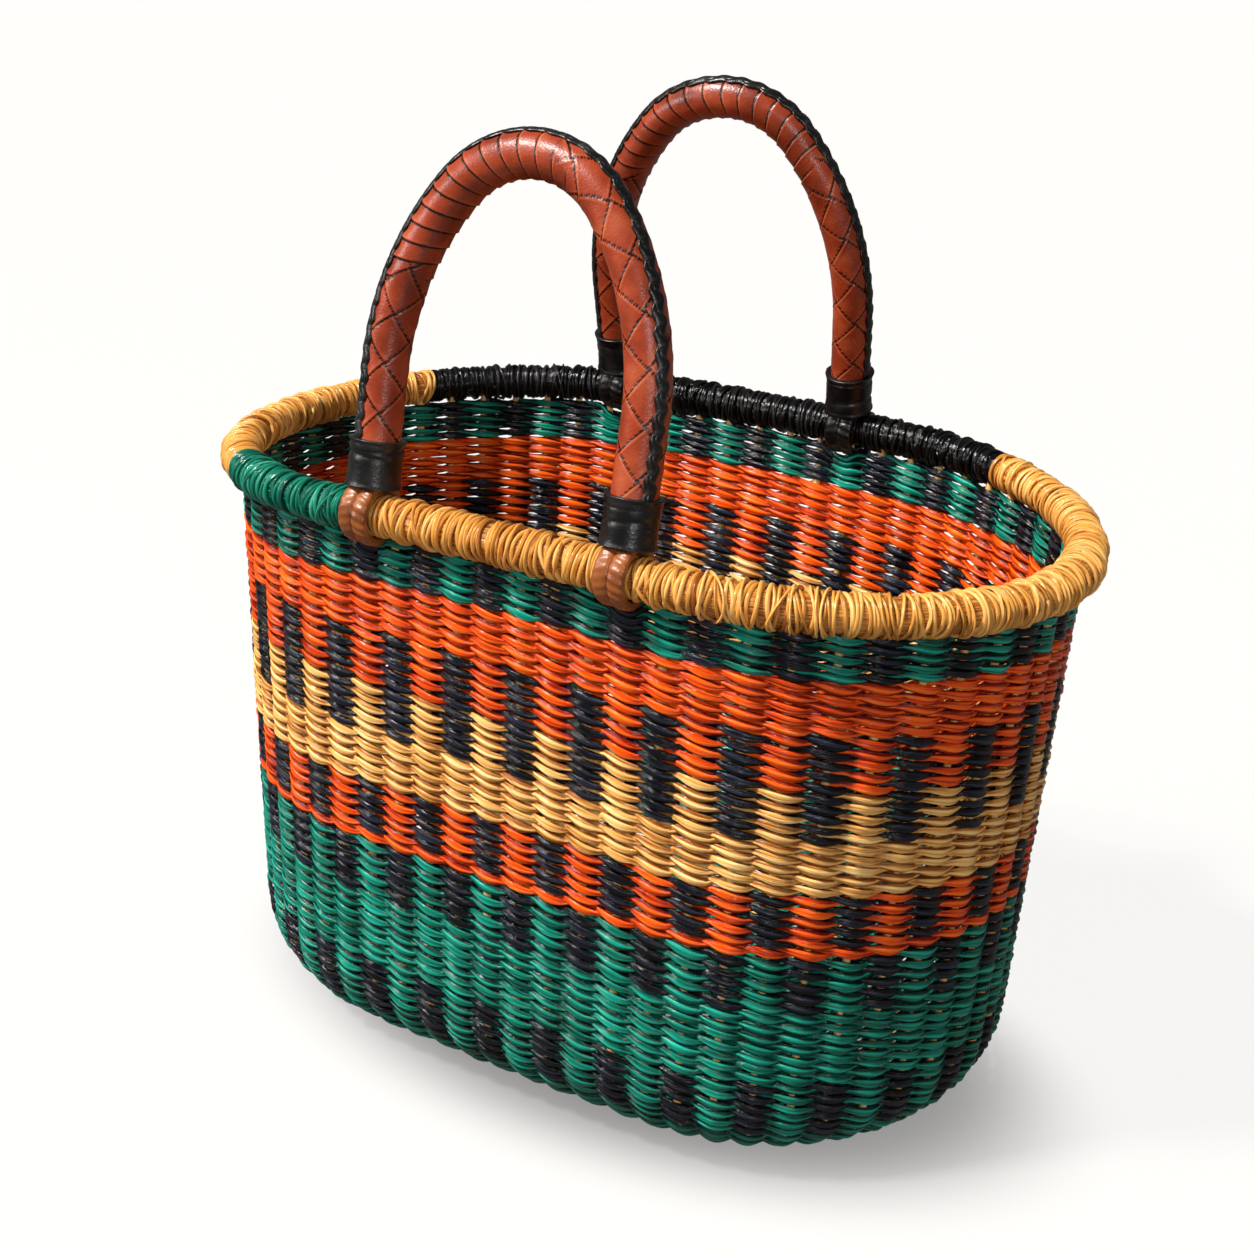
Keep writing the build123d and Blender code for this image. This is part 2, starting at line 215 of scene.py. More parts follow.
def down_to(height):
    """The distance down the wall to a height."""
    if height > straight_foot:
        return (WALL_TOP - height) / cos(WALL_LEAN)
    return straight + middle_radius * (np.arcsin((CORNER_RADIUS - height) / middle_radius) - WALL_LEAN)


def settle(points):
    """Lets the rim's ends hang and the base's ends curl up, as a hand-woven basket does."""
    share = np.clip(points[..., 2] / RIM_HEIGHT, 0, 1.1)
    bend = (points[..., 0] / HALF_LENGTH) ** 2
    points = points.copy()
    points[..., 2] += bend * (BASE_LIFT * (1 - share) ** 2 - RIM_SAG * share**1.5)
    points[..., 2] = np.maximum(points[..., 2], 0.0)
    return points


def wall_point(distance, down, out):
    """Points of the wall, with the wall's outward and downward directions."""
    inset, height, turn = profile(down)
    point, outward, along = plan(distance, inset)
    point[..., 2] = height
    normal = outward * np.cos(turn)[..., None] - UP * np.sin(turn)[..., None]
    downward = -outward * np.sin(turn)[..., None] - UP * np.cos(turn)[..., None]
    return point + normal * np.asarray(out)[..., None], normal, downward, along


# ---------------------------------------------------------------- meshes


def mesh_of(name, tubes, materials, body, replaced):
    """One piece from tubes of rings.

    Each tube is (points, closed, material index, shade): points has one ring of points
    after another, and shade is one value, one per ring or one per point. The uv map is in
    metres along and round each tube.
    """
    verts, faces, mats, shades, uvs = [], [], [], [], []
    offset = 0
    for points, closed, material, shade in tubes:
        count, sides = points.shape[:2]
        last = count if closed else count - 1
        i = np.arange(last)[:, None]
        j = np.arange(sides)[None, :]
        nxt = (i + 1) % count
        side = (j + 1) % sides
        quad = np.stack([i * sides + j, nxt * sides + j, nxt * sides + side, i * sides + side], -1)
        faces.append(quad.reshape(-1, 4) + offset)
        mats.append(np.full(last * sides, material))
        step = np.linalg.norm(np.diff(points.mean(1), axis=0, append=points.mean(1)[:1]), axis=1)
        run = np.concatenate([[0], np.cumsum(step)[:-1]])
        girth = np.linalg.norm(points - np.roll(points, 1, 1), axis=2).mean() * sides
        u0 = np.broadcast_to(run[:last, None], (last, sides))
        u1 = np.broadcast_to((run[:last] + step[:last])[:, None], (last, sides))
        v0 = np.broadcast_to(j / sides * girth, (last, sides))
        v1 = v0 + girth / sides
        corners = [(u0, v0), (u1, v0), (u1, v1), (u0, v1)]
        uv = np.stack([np.stack(corner_uv, -1) for corner_uv in corners], 2)
        uvs.append(uv.reshape(-1, 2))
        verts.append(points.reshape(-1, 3))
        shade = np.asarray(shade, float)
        shade = shade[:, None] if shade.ndim == 1 else shade
        shades.append(np.broadcast_to(shade, (count, sides)).ravel())
        offset += count * sides
    verts = np.concatenate(verts)
    faces = np.concatenate(faces)
    mesh = bpy.data.meshes.new(name)
    mesh.vertices.add(len(verts))
    mesh.vertices.foreach_set("co", verts.astype(np.float32).ravel())
    mesh.loops.add(len(faces) * 4)
    mesh.loops.foreach_set("vertex_index", faces.astype(np.int32).ravel())
    mesh.polygons.add(len(faces))
    mesh.polygons.foreach_set("loop_start", np.arange(0, len(faces) * 4, 4, dtype=np.int32))
    mesh.polygons.foreach_set("material_index", np.concatenate(mats).astype(np.int32))
    mesh.polygons.foreach_set("use_smooth", np.ones(len(faces), bool))
    mesh.update(calc_edges=True)
    layer = mesh.uv_layers.new(name="strand")
    layer.data.foreach_set("uv", np.concatenate(uvs).astype(np.float32).ravel())
    shade = mesh.attributes.new("shade", "FLOAT", "POINT")
    shade.data.foreach_set("value", np.concatenate(shades).astype(np.float32))
    for material in materials:
        mesh.materials.append(material)
    piece = bpy.data.objects.new(name, mesh)
    bpy.context.scene.collection.objects.link(piece)
    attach(piece, body)
    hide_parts(*replaced)
    return piece


def capped(points):
    """Closes both ends of a tube by drawing them in to a point."""
    first = np.broadcast_to(points[0].mean(0), points[0].shape)
    last = np.broadcast_to(points[-1].mean(0), points[-1].shape)
    return np.concatenate([first[None], points, last[None]])


def wander(distance, size, waves=6, lap=PERIMETER):
    """A smooth random value round a closed line."""
    value = np.zeros_like(distance)
    for _ in range(waves):
        turns = rng.integers(2, 40)
        value += np.sin(2 * pi * turns * distance / lap + rng.uniform(0, 2 * pi)) * rng.uniform(0.4, 1)
    return value * size / waves


# ---------------------------------------------------------------- materials


def new_material(name):
    """A material with one shader, ready to be wired."""
    material = bpy.data.materials.new(name)
    material.use_nodes = True
    tree = material.node_tree
    tree.nodes.clear()
    shader = tree.nodes.new("ShaderNodeBsdfPrincipled")
    output = tree.nodes.new("ShaderNodeOutputMaterial")
    tree.links.new(shader.outputs["BSDF"], output.inputs["Surface"])
    return material, tree, shader


def node(tree, kind, **inputs):
    """A node with its inputs, by name, set to values or linked to sockets."""
    made = tree.nodes.new(kind)
    for key, value in inputs.items():
        socket = made.inputs[key.replace("_", " ")]
        if isinstance(value, bpy.types.NodeSocket):
            tree.links.new(value, socket)
        else:
            socket.default_value = value
    return made


def ramp(tree, factor, stops):
    """A colour ramp with (position, colour) stops."""
    made = tree.nodes.new("ShaderNodeValToRGB")
    elements = made.color_ramp.elements
    while len(elements) < len(stops):
        elements.new(0.5)
    for element, (place, colour) in zip(elements, stops):
        element.position = place
        element.color = (*colour, 1.0)
    tree.links.new(factor, made.inputs[0])
    return made.outputs["Color"]


def math_node(tree, operation, a, b):
    """The result of an operation on two values or sockets."""
    made = tree.nodes.new("ShaderNodeMath")
    made.operation = operation
    for index, value in enumerate((a, b)):
        if isinstance(value, bpy.types.NodeSocket):
            tree.links.new(value, made.inputs[index])
        else:
            made.inputs[index].default_value = value
    return made.outputs[0]


def straw(name, dark, middle, light, rough=0.19, fibre=0.9):
    """Dyed or natural straw: fibres along each strand, lighter and darker by the mesh's own shade, which
    holds a random tone per stitch and, on the rows and the rim, painted shade and highlights.
    """
    material, tree, shader = new_material(name)
    uv = tree.nodes.new("ShaderNodeUVMap")
    uv.uv_map = "strand"
    stretch = node(tree, "ShaderNodeMapping", Vector=uv.outputs["UV"], Scale=(50.0, 1500.0, 1.0))
    fibres = node(tree, "ShaderNodeTexNoise", Vector=stretch.outputs[0], Scale=1.0, Detail=3.0)
    coords = tree.nodes.new("ShaderNodeTexCoord")
    patches = node(tree, "ShaderNodeTexNoise", Vector=coords.outputs["Object"], Scale=38.0, Detail=2.0)
    shade = tree.nodes.new("ShaderNodeAttribute")
    shade.attribute_name = "shade"
    fine = math_node(tree, "MULTIPLY", fibres.outputs["Fac"], 0.75)
    broad = math_node(tree, "MULTIPLY", patches.outputs["Fac"], 0.25)
    mixed = math_node(tree, "ADD", math_node(tree, "ADD", fine, broad), shade.outputs["Fac"])
    colour = ramp(tree, mixed, [(0.22, dark), (0.5, middle), (0.86, light)])
    tree.links.new(colour, shader.inputs["Base Color"])
    roughness = math_node(tree, "MULTIPLY", fibres.outputs["Fac"], 0.22)
    roughness = math_node(tree, "ADD", roughness, rough - 0.11)
    tree.links.new(roughness, shader.inputs["Roughness"])
    shader.inputs["Specular IOR Level"].default_value = 0.33
    bump = node(tree, "ShaderNodeBump", Strength=fibre, Distance=0.0009, Height=fibres.outputs["Fac"])
    tree.links.new(bump.outputs["Normal"], shader.inputs["Normal"])
    return material


def leather(name, dark, middle, light, rough=0.36, grain=900.0):
    """Leather with a fine grain, lighter and darker by the mesh's own shade, which on the cover and the lace
    holds painted highlights on raised edges and painted shade in the gaps.
    """
    material, tree, shader = new_material(name)
    coords = tree.nodes.new("ShaderNodeTexCoord")
    place = coords.outputs["Object"]
    cells = node(tree, "ShaderNodeTexVoronoi", Vector=place, Scale=grain)
    cloud = node(tree, "ShaderNodeTexNoise", Vector=place, Scale=60.0, Detail=4.0)
    shade = tree.nodes.new("ShaderNodeAttribute")
    shade.attribute_name = "shade"
    mixed = math_node(tree, "ADD", math_node(tree, "MULTIPLY", cloud.outputs["Fac"], 0.5), 0.25)
    mixed = math_node(tree, "ADD", mixed, shade.outputs["Fac"])
    colour = ramp(tree, mixed, [(0.25, dark), (0.5, middle), (0.85, light)])
    tree.links.new(colour, shader.inputs["Base Color"])
    roughness = math_node(tree, "MULTIPLY", cloud.outputs["Fac"], 0.25)
    roughness = math_node(tree, "ADD", roughness, rough - 0.12)
    tree.links.new(roughness, shader.inputs["Roughness"])
    shader.inputs["Specular IOR Level"].default_value = 0.45
    height = math_node(tree, "MULTIPLY", cells.outputs["Distance"], 0.5)
    height = math_node(tree, "ADD", height, cloud.outputs["Fac"])
    bump = node(tree, "ShaderNodeBump", Strength=0.25, Distance=0.0006, Height=height)
    tree.links.new(bump.outputs["Normal"], shader.inputs["Normal"])
    return material


STRAWS = {
    "green": straw("green_straw", (0.0, 0.018, 0.011), (0.002, 0.165, 0.108), (0.010, 0.40, 0.29)),
    "orange": straw("orange_straw", (0.20, 0.006, 0.0005), (0.84, 0.070, 0.002), (0.98, 0.19, 0.012)),
    "natural": straw("natural_straw", (0.26, 0.07, 0.009), (0.84, 0.40, 0.095), (1.0, 0.72, 0.30)),
    "black": straw("black_straw", (0.0005, 0.0005, 0.001), (0.003, 0.0033, 0.006), (0.022, 0.025, 0.045)),
}
stake_straw = straw("stake_straw", (0.35, 0.15, 0.04), (0.75, 0.42, 0.14), (0.95, 0.68, 0.33), rough=0.5)
rim_straw = straw("rim_straw", (0.20, 0.05, 0.007), (0.76, 0.335, 0.062), (1.0, 0.63, 0.22))
rim_green = straw("rim_green_straw", (0.0, 0.020, 0.012), (0.003, 0.16, 0.10), (0.05, 0.42, 0.27))
rim_black = straw("rim_black_straw", (0.0005, 0.0005, 0.0005), (0.003, 0.0028, 0.003), (0.03, 0.026, 0.028))
tan_leather = leather("tan_leather", (0.012, 0.002, 0.001), (0.29, 0.036, 0.009), (0.60, 0.15, 0.05))
black_leather = leather(
    "black_leather", (0.0008, 0.0008, 0.0008), (0.0022, 0.002, 0.002), (0.05, 0.045, 0.042)
)
brown_leather = leather("brown_leather", (0.04, 0.008, 0.002), (0.27, 0.075, 0.015), (0.52, 0.19, 0.05))


# ---------------------------------------------------------------- weave

def foot_places(side):
    """The two points of the rim where a handle's loops pass, as x, left then right."""
    boxes = [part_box(f"{side}_loop_{place}") for place in ("left", "right")]
    return [(low.x + high.x) / 2 for low, high in boxes]


LOOP_PLACES = [(x, -1) for x in foot_places("front")] + [(x, 1) for x in foot_places("rear")]


def make_room(distance, down):
    """How far the rows are pushed down under the loops."""
    point, _, _ = plan(distance, 0.0)
    push = np.zeros_like(distance)
    for x, side in LOOP_PLACES:
        near = np.exp(-(((point[..., 0] - x) / LOOP_ROOM_HALF_WIDTH) ** 4))
        near = near * (np.sign(point[..., 1]) == side)
        push += near * LOOP_ROOM * np.exp(-down / LOOP_ROOM_FADE)
    return push


def strand_tube(down, phase, row_seed, slim, sides):
    """One strand of a row, once round the basket, with a shade for each vertex."""
    local = np.random.default_rng(row_seed)
    steps = STAKE_COUNT * STITCH_STEPS
    stake = np.arange(steps) / STITCH_STEPS
    distance = stake_place(stake)
    swing = pi * stake + phase
    stitch = np.floor(stake + 0.5).astype(int) % STAKE_COUNT
    wobble = local.normal(0, 1, (5, STAKE_COUNT))
    height = STRAND_HALF_HEIGHT * slim * (1 + 0.08 * wobble[0][stitch])
    lift = wander(distance, 0.6 * MM) + 0.25 * MM * wobble[1][stitch]
    facing = np.cos(swing)
    slope = np.arcsin(0.985 * np.sin(swing)) * 2 / pi
    slant = slim * (STRAND_SLANT * slope + STITCH_SLANT * np.sin(2 * swing))
    level = down + slant + lift + make_room(distance, down)
    out = STRAND_OUT * facing * (1 + 0.08 * wobble[2][stitch])
    centre, normal, downward, _ = wall_point(distance, level, out)
    tall = slim * STRAND_TIP + (height - slim * STRAND_TIP) * np.abs(facing) ** 1.15
    deep = STRAND_HALF_DEPTH * (0.8 + 0.2 * np.abs(facing))
    angle = np.linspace(0, 2 * pi, sides, endpoint=False)
    twist = stake * 1.1 + 0.5 * wobble[4][stitch] + local.uniform(0, 6)
    lobes = np.cos(STRAND_LOBES * angle[None] - twist[:, None])
    section = 1 + 0.16 * lobes
    ring = (
        normal[:, None] * (np.cos(angle) * deep[:, None] * section)[..., None]
        + downward[:, None] * (np.sin(angle) * tall[:, None] * section)[..., None]
    )
    # Painted shade: darker at the top and bottom edges of the strand's section and where it turns behind a
    # stake.
    painted_crevice_shade = 0.40 * np.abs(np.sin(angle[None])) ** 3 + 0.20 * (1 - np.abs(facing[:, None])) ** 2
    stitch_shade = 0.07 * wobble[3][stitch] + wander(distance, 0.05)
    # Shade per vertex: a random tone per stitch, then painted light: the ridges of the twisted straws
    # lighter as a painted highlight, the grooves between them darker as painted shade, less the painted
    # crevice shade.
    shade = stitch_shade[:, None] + 0.10 + 0.18 * lobes - painted_crevice_shade
    return settle(centre[:, None] + ring), shade


def make_bands():
    """Twined rows, band by band, from the rim to the middle of the base."""
    top = 0.0
    seed = 100
    base_middle = straight + corner + end_radius - corner_in - 1.5 * MM
    for name, rows, first, second, parity, plain in BANDS:
        in_base = name == "base_weave"
        foot = base_middle if in_base else down_to(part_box(name)[0].z)
        sides = BASE_STRAND_SIDES if in_base else STRAND_SIDES
        pitch = (foot - top) / rows
        slim = min(pitch / STRAND_PITCH, SLIM_MOST)
        tubes = []
        for row in range(rows):
            down = top + (row + 0.5) * pitch
            for strand in (0, 1):
                points, shade = strand_tube(down, pi * (strand + parity), seed, slim, sides)
                seed += 1
                colour = strand if row < rows - plain else 0
                tubes.append((points, True, colour, shade))
        materials = [STRAWS[first], STRAWS[second]]
        mesh_of(name + "_rows", tubes, materials, "basket", [name])
        top = foot


def make_stakes():
    """The upright stakes, from inside the rim down under the base."""
    tubes = []
    angle = np.linspace(0, 2 * pi, 6, endpoint=False)
    for stake in range(STAKE_COUNT):
        down = np.linspace(-6 * MM, straight + corner + 2 * MM, STAKE_RINGS)
        distance = np.full_like(down, stake_place(stake))
        centre, normal, _, along = wall_point(distance, down, np.zeros_like(down))
        radius = STAKE_RADIUS * (1 + 0.08 * rng.normal(0, 1, len(down)))
        ring = normal[:, None] * np.cos(angle)[:, None] + along[:, None] * np.sin(angle)[:, None]
        points = settle(centre[:, None] + ring * radius[:, None, None])
        tubes.append((capped(points), False, 0, rng.normal(0, 0.06)))
    mesh_of("stake_rods", tubes, [stake_straw], "basket", ["stakes"])


# ---------------------------------------------------------------- rim

# Wrappings: CAD node, first and last stake, counted from the middle of the front, and straw
WRAPS = [
    ("rim_wrap_black", 24.3, 43.3, rim_black),
    ("rim_wrap_left_end", 43.3, 54.75, rim_straw),
    ("rim_wrap_green", 54.75, 60.33, rim_green),
    ("rim_wrap_straw", 60.33, 88.3, rim_straw),
]
TURN_SPACING = 2.05 * MM
TURN_HALF_WIDTH = 1.14 * MM
TURN_HALF_DEPTH = 0.92 * MM
TURN_RINGS = 24
TURN_SIDES = 8
STRAY_SHARE = 0.17  # of the turns have a thin one crossing them
STRAY_HALF_WIDTH = 0.7 * MM


def rim_turn(distance, lean, radius, half_width, seed):
    """One turn of straw round the rim."""
    local = np.random.default_rng(seed)
    around = np.linspace(0, 2 * pi, TURN_RINGS, endpoint=False)
    start = local.uniform(0, 2 * pi)
    shift = lean * np.cos(around - start) + 0.35 * MM * np.sin(2 * around + start)
    centre, outward, along = plan(distance + shift, 0.0)
    centre[:, 2] = RIM_HEIGHT
    radial = outward * np.cos(around)[:, None] + UP * np.sin(around)[:, None]
    level = radius * (1 + 0.012 * np.sin(3 * around + start) + 0.012 * local.normal(0, 1, 1))
    angle = np.linspace(0, 2 * pi, TURN_SIDES, endpoint=False)
    lobe = 1 + 0.14 * np.cos(2 * angle)
    ring = (
        radial[:, None] * (np.cos(angle) * TURN_HALF_DEPTH)[None, :, None]
        + along[:, None] * (np.sin(angle) * half_width * lobe)[None, :, None]
    )
    return settle(centre[:, None] + radial[:, None] * level[:, None, None] + ring)


def rim_tube(distance, radius, sides):
    """A plain round tube along the rim."""
    centre, outward, _ = plan(distance, 0.0)
    centre[:, 2] = RIM_HEIGHT
    angle = np.linspace(0, 2 * pi, sides, endpoint=False)
    ring = outward[:, None] * np.cos(angle)[:, None] + UP * np.sin(angle)[:, None]
    return settle(centre[:, None] + ring * radius)


def make_wrap(name, start, end, material, seed):
    """The turns of one wrapping, stray ones that cross them and the layer under them."""
    count = int((end - start) / TURN_SPACING)
    tubes = []
    for turn in range(count):
        place = start + (turn + 0.5) * (end - start) / count + rng.normal(0, 0.25 * MM)
        lean = rng.normal(2.0, 1.1) * MM
        radius = RIM_RADIUS - TURN_HALF_DEPTH + rng.uniform(-0.35, 0.35) * MM
        width = TURN_HALF_WIDTH * rng.uniform(0.8, 1.1)
        points = rim_turn(place, lean, radius, width, seed)
        tubes.append((points, True, 0, rng.normal(0, 0.09)))
        seed += 1
        if rng.random() < STRAY_SHARE and 3 < turn < count - 3:
            lean = rng.normal(0, 2.6) * MM
            points = rim_turn(place, lean, RIM_RADIUS + 0.1 * MM, STRAY_HALF_WIDTH, seed)
            tubes.append((points, True, 0, rng.normal(0.08, 0.08)))
            seed += 1
    under = np.linspace(start + 0.5 * MM, end - 0.5 * MM, 160)
    layer = rim_tube(under, RIM_RADIUS - 1.5 * MM, 20)
    # Painted shade: the layer under the turns is darker, for the grooves between them.
    tubes.append((capped(layer), False, 0, -0.18))
    mesh_of(name + "_turns", tubes, [material], "basket", [name])
    return seed


def make_rim():
    """The wrapped rim: many turns of straw in four colours round a core."""
    seed = 5000
    for name, first, last, material in WRAPS:
        start = FRONT_MIDDLE + first * STAKE_PITCH
        end = FRONT_MIDDLE + last * STAKE_PITCH
        seed = make_wrap(name, start, end, material, seed)
    distance = np.linspace(0, PERIMETER, 240, endpoint=False)
    tubes = [(rim_tube(distance, RIM_CORE_RADIUS + 0.2 * MM, 16), True, 0, 0.0)]
    mesh_of("rim_core_bundle", tubes, [stake_straw], "basket", ["rim_core"])


# ---------------------------------------------------------------- handles


class Arch:
    """The line of one handle, from its left foot to its right one."""

    def __init__(self, side):
        self.side = side
        left, right = foot_places(side)
        joint = next(joint for joint in frame["joints"] if joint["child"] == f"{side}_handle")
        lean = LEANS[side]
        self.half_span = (right - left) / 2
        self.origin = np.array(joint["pos_m"])
        self.x = np.array(joint["axis"]) / np.linalg.norm(joint["axis"])
        inwards = np.cross([0, 0, 1.0], self.x) * (1 if side == "front" else -1)
        self.up = inwards * sin(lean) + np.array([0, 0, cos(lean)])
        self.normal = np.cross(self.x, self.up)
        self.height = ARCH_HEIGHTS[side]
        top = self.height - ARCH_TOP_RADIUS - ARCH_LEG
        span = self.half_span
        self.side_radius = (span**2 + top**2 - ARCH_TOP_RADIUS**2) / (2 * (span - ARCH_TOP_RADIUS))
        self.side_turn = atan2(top, self.side_radius - span)
        self.lengths = [
            ARCH_LEG,
            self.side_radius * self.side_turn,
            ARCH_TOP_RADIUS * (pi - 2 * self.side_turn),
            self.side_radius * self.side_turn,
            ARCH_LEG,
        ]
        self.length = sum(self.lengths)

    def line(self, run):
        """Points in the handle's plane and headings, at lengths from the left foot."""
        a, b, c, d = np.cumsum(self.lengths)[:4]
        turn = self.side_turn
        radius = self.side_radius
        heading = np.select(
            [run < a, run < b, run < c, run < d],
            [
                pi / 2 + 0 * run,
                pi / 2 - (run - a) / radius,
                pi / 2 - turn - (run - b) / ARCH_TOP_RADIUS,
                -pi / 2 + turn - (run - c) / radius,
            ],
            -pi / 2,
        )
        left = radius - self.half_span
        nx, ny = -np.sin(heading), np.cos(heading)
        x = np.select(
            [run < a, run < b, run < c, run < d],
            [-self.half_span + 0 * run, left + radius * nx, ARCH_TOP_RADIUS * nx, -left + radius * nx],
            self.half_span,
        )
        y = np.select(
            [run < a, run < b, run < c, run < d],
            [run, ARCH_LEG + radius * ny, self.height + ARCH_TOP_RADIUS * (ny - 1), ARCH_LEG + radius * ny],
            self.length - run,
        )
        aside = np.clip((x + self.half_span) / self.half_span, 0, 1) * y / self.height
        return x + SKEWS[self.side] * aside, y, nx, ny

    def around(self, run, angle, radius):
        """Points on a tube along the handle: angle 0 faces out of the arch."""
        x, y, nx, ny = self.line(run)
        centre = self.origin + x[:, None] * self.x + y[:, None] * self.up
        out = nx[:, None] * self.x + ny[:, None] * self.up
        ring = out[:, None] * np.cos(angle)[..., None] + self.normal * np.sin(angle)[..., None]
        return centre[:, None] + ring * radius[..., None]


def handle_piece(arch, name, tubes, material, cad_node):
    """A piece that turns with the handle, in place of a CAD node."""
    body = f"{arch.side}_handle"
    node_name = f"{arch.side}_{cad_node}"
    return mesh_of(f"{arch.side}_{name}", tubes, [material], body, [node_name])


def make_core(arch):
    """The bundle of straw inside the leather."""
    first = COLLAR_END - COVER_IN_COLLAR
    run = np.linspace(first, arch.length - first, 160)
    angle = np.broadcast_to(np.linspace(0, 2 * pi, 20, endpoint=False), (len(run), 20))
    points = arch.around(run, angle, np.full(angle.shape, CORE_RADIUS))
    tubes = [(capped(points), False, 0, 0.0)]
    handle_piece(arch, "handle_bundle", tubes, stake_straw, "handle_core")


def fraction(value):
    """What is left of a value above its whole part."""
    return value - np.floor(value)


def make_cover(arch):
    """The leather cover: crossed strips up the legs and a lapped spiral over the top."""
    first = COLLAR_END - COVER_IN_COLLAR
    run = np.arange(first, arch.length - first, COVER_STEP)
    angle = np.linspace(0, 2 * pi, COVER_SIDES, endpoint=False)
    angle = np.broadcast_to(angle, (len(run), COVER_SIDES))
    up = np.broadcast_to(run[:, None], angle.shape)
    turn = angle / (2 * pi)
    # crossed strips: two families of spirals, over and under each other in turn
    right = up / STRIP_CELL / 2 + turn * 3
    left = up / STRIP_CELL / 2 - turn * 3
    over = (np.floor(right) + np.floor(left)) % 2 == 0
    right, left = fraction(right), fraction(left)
    edge = np.where(over, np.minimum(right, 1 - right), np.minimum(left, 1 - left))
    crossed_ridge = np.exp(-(((edge - 0.07) / 0.035) ** 2))
    across = np.where(over, 1 - 0.5 * right, 1 - 0.5 * left)
    crossed = 0.55 * np.clip(edge / 0.10, 0, 1) ** 0.5 + 0.45 * across + 0.25 * crossed_ridge
    crossed_gap = np.clip(1.3 - edge / 0.05, 0, 1)
    # lapped spiral
    lap = fraction(up / LAP_PITCH + 0.55 * np.cos(angle - 0.4) + turn)
    lapped_ridge = np.exp(-(((lap - 0.09) / 0.05) ** 2))
    lapped = np.clip(lap / 0.10, 0, 1) ** 0.6 * (1 - 0.55 * lap) + 0.18 * lapped_ridge
    lapped_gap = np.clip(1.3 - np.minimum(lap, 1 - lap) / 0.06, 0, 1)
    # the spiral takes over between two shares of the length
    low, high = LAPPED_SHARES[arch.side]
    share = up / arch.length + 0.02 * np.sin(angle * 2)
    blend = np.clip((share - low) / 0.02, 0, 1) * np.clip((high - share) / 0.02, 0, 1)
    relief = crossed * (1 - blend) + lapped * blend
    painted_ridge_highlight = crossed_ridge * (1 - blend) + lapped_ridge * blend
    painted_gap_shade = crossed_gap * (1 - blend) + lapped_gap * blend
    radius = COVER_RADIUS - 1.15 * MM + COVER_RELIEF * relief
    radius = radius + 0.12 * MM * np.sin(up / (23 * MM) + 2 * angle)
    # Painted light: the raised edges of the strips lighter as a painted highlight, the gaps between strips
    # and the low parts darker as painted shade.
    shade = 0.16 * painted_ridge_highlight - 0.5 * painted_gap_shade - 0.10 * (1 - relief)
    tubes = [(arch.around(run, angle, radius), False, 0, shade)]
    handle_piece(arch, "handle_leather", tubes, tan_leather, "handle_cover")


def lace_turn(arch, run):
    """How far the lace winds from the outside of the arch towards the front, in radians."""
    share = run / arch.length
    left, right = (62, 27) if arch.side == "front" else (45, 6)
    return np.radians(np.interp(share, [0.0, 0.15, 0.5, 0.75, 1.0], [left, left, 8, right, right]))


def make_lace(arch):
    """The black lace: lapped, twisted leaves along the outside of the arch."""
    run = np.arange(COLLAR_END - 2 * MM, arch.length - COLLAR_END + 2 * MM, LACE_STEP)
    around = np.linspace(0, 2 * pi, LACE_SIDES, endpoint=False)
    tubes = []
    for offset, side in ((0.0, 1.0), (0.5, -1.0)):
        phase = fraction(run / LACE_LEAF + offset)
        swell = np.sin(pi * phase) ** 0.55
        half_width = (1.3 + 1.15 * swell) * MM
        thick = (0.45 + 0.45 * swell) * MM
        centre_angle = lace_turn(arch, run) + side * (0.09 + 0.04 * np.sin(2 * pi * phase))
        lift = COVER_RADIUS + (0.15 + 0.4 * phase) * MM
        tilt = side * 0.25 * np.cos(pi * phase)
        across = half_width[:, None] * np.cos(around)[None]
        rise = thick[:, None] * np.sin(around)[None]
        turned = across * np.cos(tilt)[:, None] - rise * np.sin(tilt)[:, None]
        radius = lift[:, None] + across * np.sin(tilt)[:, None] + rise * np.cos(tilt)[:, None]
        angle = centre_angle[:, None] + turned / COVER_RADIUS
        points = arch.around(run, angle, radius)
        # Painted highlight: the raised end of each leaf is lighter.
        shade = 0.10 * (phase > 0.82)
        tubes.append((capped(points), False, 0, np.concatenate([[0], shade, [0]])))
    handle_piece(arch, "handle_lacing", tubes, black_leather, "handle_lace")


def collar_surface(arch, flip, t, angle):
    """Radius of a collar's outside: rolled edges, wrinkles, a folded notch and a lap."""
    local = np.random.default_rng(31 + 7 * flip + (3 if arch.side == "rear" else 0))
    rolled = 0.5 * np.exp(-((t / 0.06) ** 2)) + 0.45 * np.exp(-(((1 - t) / 0.05) ** 2))
    radius = COLLAR_RADIUS + (rolled - 0.4 * np.sin(pi * t)) * MM + 0 * angle
    for _ in range(7):
        where, wide = local.uniform(0.1, 0.9), local.uniform(0.03, 0.07)
        reach, phase = local.uniform(0.2, 0.5), local.uniform(0, 2 * pi)
        line = where + 0.06 * np.sin(angle + phase)
        wrinkle = np.exp(-(((t - line) / wide) ** 2)) * (0.5 + 0.5 * np.cos(angle - phase))
        radius = radius - reach * MM * wrinkle
    facing = -pi / 2 if arch.side == "front" else pi / 2
    notch_at = facing + (0.25 if flip else -0.1)
    off = (angle - notch_at + pi) % (2 * pi) - pi
    depth = np.clip((t - 0.55) / 0.35, 0, 1) * (t < 0.93)
    radius = radius - 0.9 * MM * depth * np.clip(1 - np.abs(off) / (0.10 + 0.28 * depth), 0, 1) ** 0.5
    lap = (off - 1.2) % (2 * pi)
    return radius + 0.35 * MM * np.exp(-((lap / 0.5) ** 2)) * (lap > 0.02)


